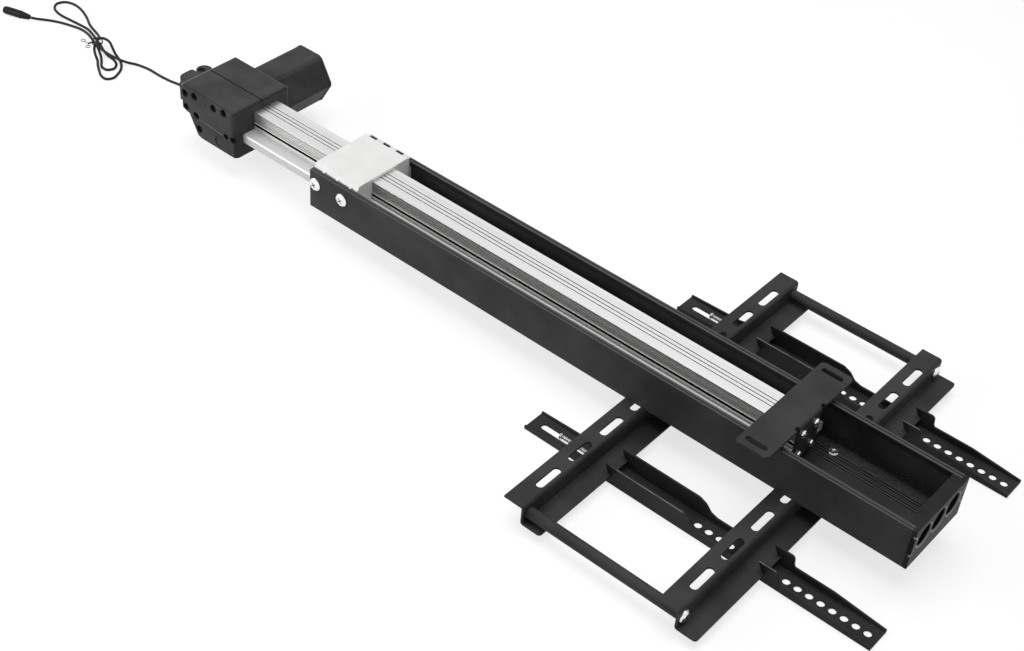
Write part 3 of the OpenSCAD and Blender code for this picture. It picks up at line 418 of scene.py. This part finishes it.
# Painted highlight on the slot lips and foot, painted shade in the slots
LIP_AND_FOOT_HIGHLIGHT = warm(0.92)
SLOT_SHADE = grey(0.004)
NYLON_WHITE = (0.88, 0.88, 0.865)
NYLON_CLOUDS = ((0.86, 0.86, 0.845), (0.9, 0.9, 0.888))
NYLON_GLOW = (0.003, 0.003, 0.0026)
CREAM = (0.8, 0.77, 0.66)
CREAM_CLOUDS = ((0.76, 0.73, 0.62), (0.83, 0.8, 0.7))
ZINC = (0.8, 0.805, 0.81)
ZINC_PATCHES = ((0.7, 0.705, 0.71), (0.9, 0.902, 0.905))
# Painted shade in zinc recesses and thread valleys
ZINC_RECESS_SHADE = grey(0.015)
NUT_ZINC = (0.86, 0.865, 0.87)
GROUND_STEEL = (0.58, 0.59, 0.6)
GEAR_BRONZE = (0.6, 0.47, 0.25)
MOTOR_STEEL = (0.35, 0.36, 0.37)
JACKET_BLACK = grey(0.01, 0.0005)
JACKET_DUST = (grey(0.007, 0.0005), grey(0.014, 0.0005))

# Black finishes. Grains, eased edges and depths are in metres. Hollows have a reach in metres,
# then the closed share of their sky at which they start and are full

COAT_GRAIN = 0.0011
COAT_CLOUD = 0.06
COAT_CHIPS = 0.004
COAT_EASE = 0.0006
COAT_HOLLOWS = (0.004, 0.35, 0.75)
COAT_ROUGHNESS = 0.44
COAT_SPECULAR = 0.1
MOULD_CLOUD = 0.03
MOULD_EASE = 0.0007
MOULD_HOLLOWS = (0.005, 0.35, 0.8)
GRAIN_DEPTH = 0.00006


def black_coat(name, colour):
    """Black powder coat: fine orange peel, painted shade in hollows, and edges that are worn and carry a
    painted highlight.
    """
    coat = Finish(name, colour, COAT_ROUGHNESS, specular=COAT_SPECULAR)
    peel = coat.speckle(COAT_GRAIN, detail=3)
    cloud = coat.speckle(COAT_CLOUD, detail=4)
    soft = coat.rounded(COAT_EASE)
    edge = coat.edges(soft)
    coat.mottle(cloud, times(colour, 0.75), times(colour, 1.25))
    # Painted shade in the hollows, then a painted highlight on the edges, broken into worn chips
    coat.paint(coat.hollows(*COAT_HOLLOWS), HOLLOW_SHADE, strength=0.8)
    coat.paint(edge * coat.speckle(COAT_CHIPS, detail=4).between(*SPARSE_SPREAD), WORN_EDGE_AND_HIGHLIGHT, strength=0.55)
    coat.set("Roughness", COAT_ROUGHNESS - 0.05 + 0.1 * peel + 0.06 * cloud - 0.08 * edge)
    coat.relief(peel, GRAIN_DEPTH, soft)
    return coat


def arm_coat(node):
    """An arm's coat, with a patchy painted highlight along the outer upper edge of its near flange."""
    coat = black_coat(node + "_coat", ARM_BLACK)
    low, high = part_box(node)
    top = coat.place("Z").step(high.z, AT_FACE)
    outside = 1 - coat.place("Y").step(low.y, blend=(0.0005, 0.0009))
    patchy = coat.speckle(0.03, detail=3).between(0.3, 0.5)
    # Patchy painted highlight along the flange's outer upper edge
    coat.paint(top * outside * patchy, EDGE_HIGHLIGHT_GREY, strength=0.7)
    return coat.done()


def channel_coat():
    """The channel's coat, with painted highlights on the lips and groove rims, painted shade on the inner
    walls and in the grooves, and a rough band along the floor.
    """
    coat = black_coat("channel_coat", COAT_BLACK)
    height = coat.place("Z")
    across = coat.place("Y").size()
    on_lip = height.step(CHANNEL_TOP, AT_FACE)
    on_floor = 1 - height.step(FLOOR_TOP, PAST_FACE)
    inner_wall = (1 - on_floor) * (1 - on_lip) * (1 - across.step(INNER_HALF, PAST_FACE))
    rough = coat.speckle(0.0016, detail=4).between(0.4, 0.62)
    # Painted highlight on the lips, painted shade on the inner walls
    coat.paint(on_lip * (1 - 0.8 * across.band(*LIP_GROOVE, blur=0.0006)), LIP_HIGHLIGHT, strength=0.7)
    coat.paint(inner_wall, INNER_WALL_SHADE, strength=0.7)
    coat.paint(on_floor * across.band(*FLOOR_SCUFF, blur=0.001) * rough, RUBBED_FLOOR, strength=0.7)
    # Each fold halves the floor once more, so that the eight grooves lie on one another
    aside = across
    for fold in GROOVE_FOLDS:
        aside = (aside - fold).size()
    grooved = across.band(*FLOOR_GROOVED, blur=0.0005) * on_floor
    rim = aside.band(*GROOVE_RIM, blur=0.0002)
    # Painted highlight on the groove rims, painted shade in the grooves
    coat.paint(rim * grooved, GROOVE_RIM_HIGHLIGHT, strength=0.7)
    coat.paint((1 - aside.step(GROOVE_HALF, blend=(-0.0001, 0.0001))) * grooved, GROOVE_SHADE)
    return coat.done()


def moulded_black(name, colour, grain, roughness, specular=0.11):
    """Moulded black plastic with a spark-eroded grain, painted shade in hollows and painted highlights along
    edges.
    """
    plastic = Finish(name, colour, roughness, specular=specular)
    fine = plastic.speckle(grain, detail=2)
    cloud = plastic.speckle(MOULD_CLOUD, detail=3)
    soft = plastic.rounded(MOULD_EASE)
    edge = plastic.edges(soft)
    plastic.mottle(cloud, times(colour, 0.8), times(colour, 1.25))
    # Painted shade in the hollows and a painted highlight along the edges
    plastic.paint(plastic.hollows(*MOULD_HOLLOWS), HOLLOW_SHADE, strength=0.85)
    plastic.paint(edge, EDGE_HIGHLIGHT_PLASTIC, strength=0.3)
    plastic.set("Roughness", roughness - 0.05 + 0.12 * fine - 0.05 * edge)
    plastic.relief(fine, GRAIN_DEPTH, soft)
    return plastic


def gearbox_plastic():
    """The gearbox halves: a black seam, painted shade along the top of the near and front faces, and painted
    highlight lines along the back top edge, the far edge and the near face's crease.
    """
    plastic = moulded_black("gearbox_plastic", GEARBOX_BLACK, grain=0.0008, roughness=0.5)
    along, across, height = (plastic.place(axis) for axis in "XYZ")
    corner = height.step(GEARBOX_TOP, blend=(-0.003, -0.001))
    near_corner = (1 - across.step(GEARBOX_NEAR, blend=(0.001, 0.0035))) * corner
    front_corner = along.step(GEARBOX_FRONT, blend=(-0.0035, -0.001)) * corner
    # Painted shade along the top of the near and front faces
    plastic.paint(near_corner.either(front_corner), CORNER_SHADE, strength=0.75)
    plastic.paint(across.band(*GEARBOX_SEAM, blur=0.0002), SEAM_BLACK)
    top = height.step(GEARBOX_TOP, blend=(-0.003, -0.0015))
    back = (1 - along.step(GEARBOX_BACK, blend=(0.0012, 0.0018))) * top
    far = across.step(GEARBOX_FAR, blend=(-0.0018, -0.0012))
    over_crease = height - CREASE_HEIGHT - CREASE_SLOPE * (along - CREASE_START)
    near_face = 1 - across.step(GEARBOX_NEAR, blend=(0.0001, 0.0014))
    crease = over_crease.band(*CREASE_BAND, blur=0.0003) * near_face
    # Painted highlight lines along the back and far edges and the crease
    plastic.paint(back.either(far).either(crease * 0.6), EDGE_HIGHLIGHT_GREY, strength=0.75)
    return plastic.done()


def motor_plastic():
    """The motor's cover and the bosses, with a painted highlight line round the cover's far end."""
    plastic = moulded_black("motor_plastic", MOTOR_BLACK, grain=0.0009, roughness=0.5)
    end = plastic.place("Y").step(MOTOR_END, blend=(-0.0016, -0.001))
    end_face = plastic.part(plastic.normal(), "Y").between(0.85, 0.95)
    # Painted highlight line round the far end
    plastic.paint(end * (1 - end_face), MOTOR_END_HIGHLIGHT, strength=0.4)
    return plastic.done()


def cap_plastic():
    """The end cap: painted shade in its three pockets, with painted highlight rims round them."""
    plastic = moulded_black("end_cap_plastic", CAP_BLACK, grain=0.0007, roughness=0.42, specular=0.05)
    across = plastic.place("Y")
    side = across - POCKET_PITCH * (across * (1 / POCKET_PITCH)).maths("ROUND")
    rise = plastic.place("Z") - POCKET_HEIGHT
    radius = (side * side + rise * rise) ** 0.5
    face = plastic.place("X").step(CAP_FACE, blend=(-POCKET_ROUND, -0.0012))
    rim = radius.band(*POCKET_RIM, blur=0.0006) * face
    # Painted highlight on the pocket rims, painted shade in the pockets
    plastic.paint(rim, POCKET_RIM_HIGHLIGHT, strength=0.8)
    plastic.paint(1 - radius.step(POCKET_RADIUS, blend=(-0.0002, 0.0006)), POCKET_SHADE, strength=0.85)
    return plastic.done()


# Bright and pale finishes. Lines, streaks and rings are in grains per metre along X, Y and Z

METAL_EASE = 0.0003
METAL_DEPTH = 0.00002
DRAWN_LINES = (2, 900, 900)
DRAWN_STREAKS = (0.4, 240, 240)
TURNED_RINGS = (600, 60, 60)
SIDE_HOLLOWS = (0.003, 0.3, 0.6)
TOP_HOLLOWS = (0.0022, 0.15, 0.4)
CROSS_HOLLOWS = (0.0035, 0.07, 0.18)


def drawn_side(metal, lines, height, before_block):
    """Colour of the column's drawn sides: darker as painted shade, with a painted highlight growing upwards
    and strongest above the slot before the block.
    """
    upwards = height.between(SLOT_HIGH + 0.003, COLUMN_TOP)
    upper_before_block = before_block * height.between(SLOT_HIGH, SLOT_HIGH + 0.008)
    drawn = metal.shade(lines.between(*FIRM_SPREAD), *SIDE_SHADED_LINES)
    drawn = metal.shade(upwards * 0.35, drawn, SIDE_UPPER_HIGHLIGHT)
    return metal.shade(upper_before_block * 0.7, drawn, SIDE_BEFORE_BLOCK_HIGHLIGHT)


def satin_aluminium():
    """Satin extrusion: drawn lines, painted highlights on edges, lips and a shelf strip, and painted shade on
    the sides and in slots and grooves.
    """
    metal = Finish("satin_aluminium", ALUMINIUM, 0.3, metallic=1.0)
    lines = metal.speckle(1.0, detail=2, where=metal.stretched(*DRAWN_LINES))
    broad = metal.speckle(1.0, detail=2, where=metal.stretched(*DRAWN_STREAKS))
    dust = metal.speckle(0.0009, detail=2)
    soft = metal.rounded(METAL_EASE)
    height = metal.place("Z")
    across = metal.place("Y").size()
    before_block = 1 - metal.place("X").step(BLOCK_RUN, blend=(-0.015, 0.015))
    side = metal.part(metal.normal(), "Y").size().between(0.6, 0.9)
    shelf = 1 - height.step(SHELF_TOP, blend=(0.0002, 0.0008))
    on_top = height.step(COLUMN_TOP, blend=(-0.0018, -0.0016))
    metal.mottle(lines, *ALUMINIUM_LINES)
    metal.paint(broad.between(*FIRM_SPREAD), ALUMINIUM_STREAK, strength=0.3)
    # Painted highlight along the edges
    metal.paint(metal.edges(soft), EDGE_HIGHLIGHT_ALUMINIUM, strength=0.6)
    # The sides, darker as painted shade, with a painted shade line under their upper edge
    below_top = 1 - height.step(COLUMN_TOP, blend=(-0.0006, -0.0002))
    shaded_side = side * height.step(SHELF_TOP, blend=(0.0005, 0.001)) * below_top
    metal.paint(shaded_side, drawn_side(metal, lines, height, before_block))
    under_edge = height.band(*UNDER_EDGE, blur=0.0004)
    metal.paint(side * under_edge, SHADE_LINE, strength=0.6)
    # The slots, with painted highlights on their lips and on the foot under them
    slot = height.band(SLOT_LOW, SLOT_HIGH, blur=0.00015)
    recessed = 1 - across.step(COLUMN_HALF, blend=(-0.0006, -0.0002))
    lips = height.band(SLOT_LOW - SLOT_LIP, SLOT_HIGH + SLOT_LIP, blur=0.0002)
    proud = across.step(COLUMN_HALF, blend=(0.0001, 0.0003))
    foot = side * across.band(0, COLUMN_HALF + 0.0006, blur=0.0003) * (1 - shelf)
    bright = (lips * proud).either(foot * (1 - height.between(SLOT_LOW - SLOT_LIP, SLOT_LOW)))
    metal.paint(shelf, SHELF_GREY, strength=0.7)
    metal.paint(bright, LIP_AND_FOOT_HIGHLIGHT)
    # The shelf from the block's start on, with a painted highlight strip and a painted shade line
    shelf_from_block = shelf * (1 - before_block)
    lit_strip = shelf_from_block * across.band(*SHELF_STRIP, blur=0.0005)
    metal.paint(lit_strip, SHELF_HIGHLIGHT, strength=0.95)
    metal.paint(shelf_from_block * across.band(*SHELF_LINE, blur=0.0003), SHELF_SHADE_LINE, strength=0.85)
    # Painted shade in the grooves: dark on top, black in the slots and grooves of the sides
    shut = metal.hollows(*SIDE_HOLLOWS) * (1 - on_top) * (1 - shelf) * (1 - bright)
    deep = (slot * recessed).either(shut)
    metal.paint(metal.hollows(*TOP_HOLLOWS) * on_top, SHADE_LINE, strength=0.85)
    metal.paint(deep, SLOT_SHADE)
    metal.set("Metallic", 1 - 0.25 * shaded_side - 0.55 * shelf - 0.4 * lit_strip - 0.9 * bright - 0.05 * deep)
    metal.set("Roughness", 0.28 + 0.06 * lines + 0.05 * dust + 0.2 * shelf + 0.1 * shaded_side + 0.3 * deep)
    metal.relief(lines, METAL_DEPTH, soft)
    return metal.done()


def white_nylon():
    """Satin white nylon: faint flow clouds and a softly lit body."""
    nylon = Finish("white_nylon", NYLON_WHITE, 0.42, specular=0.4)
    cloud = nylon.speckle(0.02, detail=4)
    fine = nylon.speckle(0.0007, detail=2)
    nylon.mottle(cloud, *NYLON_CLOUDS)
    nylon.set("Roughness", 0.36 + 0.1 * fine + 0.05 * cloud)
    nylon.set("Subsurface Weight", 0.08)
    nylon.set("Subsurface Radius", NYLON_GLOW)
    nylon.relief(fine, 0.00004, nylon.rounded(MOULD_EASE))
    return nylon.done()


def bright_zinc(name, thread=None):
    """Bright zinc plate with painted shade in its recesses, or with the turns of a thread along one axis and
    painted shade in their valleys.
    """
    zinc = Finish(name, ZINC, 0.2, metallic=1.0)
    fine = zinc.speckle(0.0005, detail=2)
    zinc.mottle(zinc.speckle(0.0025, detail=3), *ZINC_PATCHES)
    if thread:
        turns = (zinc.place(thread) * (2 * math.pi / THREAD_PITCH)).maths("SINE")
        deep = (0 - turns).between(0.2, 0.9) * 0.85
        height = fine * 0.1 + turns
    else:
        deep = zinc.hollows(*CROSS_HOLLOWS)
        height = fine * 0.1
    # Painted shade in the recesses, or in the thread's valleys
    zinc.paint(deep, ZINC_RECESS_SHADE)
    zinc.set("Roughness", 0.14 + 0.12 * fine + 0.3 * deep)
    zinc.relief(height, 0.0002, zinc.rounded(METAL_EASE))
    return zinc.done()


def turned_steel(name, colour, roughness):
    """Turned or ground steel with rings round the X axis."""
    steel = Finish(name, colour, roughness, metallic=1.0)
    rings = steel.speckle(1.0, detail=2, where=steel.stretched(*TURNED_RINGS))
    steel.mottle(rings, times(colour, 0.85), colour)
    steel.set("Roughness", roughness - 0.05 + 0.1 * rings)
    steel.relief(rings, METAL_DEPTH, steel.rounded(METAL_EASE))
    return steel.done()


def cream_nylon():
    """Unfilled nylon of the nut and bush."""
    nylon = Finish("cream_nylon", CREAM, 0.45)
    cloud = nylon.speckle(0.008, detail=3)
    nylon.mottle(cloud, *CREAM_CLOUDS)
    nylon.set("Roughness", 0.4 + 0.1 * cloud)
    nylon.relief(nylon.speckle(0.0008), 0.00003, nylon.rounded(0.0005))
    return nylon.done()


def cord_jacket():
    """Satin PVC jacket with faint drawing marks."""
    jacket = Finish("cord_jacket", JACKET_BLACK, 0.34, specular=0.18)
    fine = jacket.speckle(0.0006, detail=3)
    dust = jacket.speckle(0.01, detail=3)
    jacket.mottle(dust, *JACKET_DUST, SPARSE_SPREAD)
    jacket.set("Roughness", 0.32 + 0.12 * fine + 0.06 * dust)
    jacket.relief(fine, 0.00003)
    return jacket.done()


def finish_nodes():
    """One finish for each material slot of the record, and its own for pieces with marks of their own."""
    finishes = {
        "black_powder": black_coat("powder_coat", COAT_BLACK).done(),
        "black_plastic": gearbox_plastic(),
        "cap_plastic": cap_plastic(),
        "white_nylon": white_nylon(),
        "aluminium": satin_aluminium(),
        "zinc_steel": bright_zinc("bright_zinc"),
        "ground_steel": turned_steel("ground_steel", GROUND_STEEL, roughness=0.25),
        "gear_bronze": turned_steel("gear_bronze", GEAR_BRONZE, roughness=0.35),
        "motor_steel": turned_steel("motor_steel", MOTOR_STEEL, roughness=0.4),
        "cream_nylon": cream_nylon(),
        "switch_plastic": moulded_black("switch_plastic", SWITCH_BLACK, grain=0.0006, roughness=0.45).done(),
        "cord_pvc": cord_jacket(),
        "tie_plastic": moulded_black("tie_sleeve", SLEEVE_BLACK, grain=0.0005, roughness=0.4).done(),
        "plug_plastic": moulded_black("plug_plastic", PLUG_BLACK, grain=0.0006, roughness=0.4).done()}
    for part in frame["record"]["subparts"]:
        nodes[part["node"]].data.materials[0] = finishes[part["material_slot"]]
    cover = motor_plastic()
    threads = bright_zinc("zinc_threads", "X")
    nuts = turned_steel("zinc_nuts", NUT_ZINC, roughness=0.22)
    own = {
        "channel": channel_coat(), "arm_near": arm_coat("arm_near"), "arm_far": arm_coat("arm_far"),
        "lock_bolt_near": threads, "lock_bolt_far": threads, "rail_nuts": nuts, "rail_bolts": nuts,
        "motor_can": cover, "motor_cap": cover, "back_cover": cover}
    for name, material in own.items():
        nodes[name].data.materials[0] = material
    return finishes


# Floor, world and lights, in metres and watts. The floor glows for the camera, brighter far out

FLOOR_HALF = 1.9
FLOOR_DROP = 0.0005
FLOOR_TONE = 0.4
FLOOR_GLOW = 0.72
FLOOR_FADE = (1.1, 1.7)
SKY_LIGHT = 0.24
TOP_LIGHT = {"place": (0.0, 0.1, 2.2), "side": 1.8, "watts": 27}
SIDE_LIGHT = {"place": (-1.15, -1.05, 0.65), "side": 0.8, "watts": 12}


def seen_directly(tree):
    """Socket that is 1 for the camera's rays and for rays mirrored or passed on to it."""
    rays = tree.nodes.new("ShaderNodeLightPath")
    shown = rays.outputs["Is Camera Ray"]
    for name in ("Is Glossy Ray", "Is Transmission Ray"):
        larger = tree.nodes.new("ShaderNodeMath")
        larger.operation = "MAXIMUM"
        tree.links.new(shown, larger.inputs[0])
        tree.links.new(rays.outputs[name], larger.inputs[1])
        shown = larger.outputs[0]
    return shown


def lay_floor():
    """Pale paper under the part, which keeps its shadow."""
    half = FLOOR_HALF
    corners = [(-half, -half, 0), (half, -half, 0), (half, half, 0), (-half, half, 0)]
    mesh = bpy.data.meshes.new("floor")
    mesh.from_pydata(corners, [], [(0, 1, 2, 3)])
    floor = bpy.data.objects.new("floor", mesh)
    bpy.context.scene.collection.objects.link(floor)
    paper = Finish("pale_paper", grey(FLOOR_TONE), 0.9, specular=0.1)
    shown = Wire(paper, seen_directly(paper.tree))
    distance = paper.add("ShaderNodeVectorMath", {"operation": "LENGTH"}, {0: paper.here}, "Value")
    glow = paper.shade(distance.between(*FLOOR_FADE), grey(FLOOR_GLOW), grey(1.0))
    paper.set("Emission Color", paper.shade(shown, grey(0.0), glow))
    paper.set("Emission Strength", 1.0)
    mesh.materials.append(paper.material)
    floor.location.z = -FLOOR_DROP


def softbox(name, place, side, watts):
    """A square lamp that faces the middle of the part."""
    lamp = bpy.data.lights.new(name, "AREA")
    lamp.size = side
    lamp.energy = watts
    light = bpy.data.objects.new(name, lamp)
    bpy.context.scene.collection.objects.link(light)
    light.location = place
    light.rotation_euler = (-Vector(place)).to_track_quat("-Z", "Y").to_euler()


def light_room():
    """A white room, plain on the part and white for the camera, with two softboxes."""
    world = bpy.data.worlds.new("studio")
    bpy.context.scene.world = world
    world.use_nodes = True
    tree = world.node_tree
    backdrop = tree.nodes["Background"]
    backdrop.inputs["Color"].default_value = (1, 1, 1, 1)
    level = tree.nodes.new("ShaderNodeMapRange")
    level.inputs["To Min"].default_value = SKY_LIGHT
    level.inputs["To Max"].default_value = 1.0
    tree.links.new(seen_directly(tree), level.inputs["Value"])
    tree.links.new(level.outputs[0], backdrop.inputs["Strength"])
    softbox("top_light", **TOP_LIGHT)
    softbox("side_light", **SIDE_LIGHT)


place_camera()
cord = lay_cord()
finishes = finish_nodes()
cord.data.materials.append(finishes["cord_pvc"])
lay_floor()
light_room()
bpy.context.scene.view_settings.view_transform = "Standard"
bpy.context.view_layer.update()
